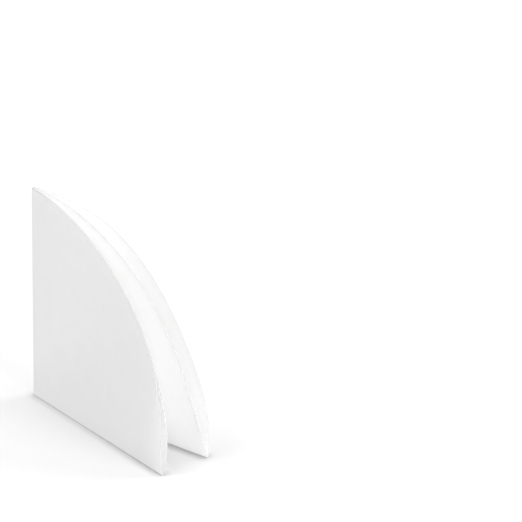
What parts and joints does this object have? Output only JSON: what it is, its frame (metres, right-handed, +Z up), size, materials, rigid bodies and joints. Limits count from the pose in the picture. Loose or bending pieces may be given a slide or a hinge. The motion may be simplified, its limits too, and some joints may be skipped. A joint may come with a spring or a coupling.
{
  "type": "folded filter paper",
  "caption": "Round sheet of filter paper folded in half twice into a quarter disc, standing on its bottom folds like an open card.",
  "frame": {"origin": "middle of the bounding box, on the surface that the paper stands on", "axes": "+X from the upright fold to the open side, midway between the two panels; +Y from the front panel to the back panel; +Z up along the upright fold"},
  "size_m": [0.0622, 0.018, 0.0625],
  "materials": {
    "filter_paper": "matt, soft and fibrous"
  },
  "bodies": {
    "root": {"filter_paper": "filter_paper"}
  },
  "joints": []
}
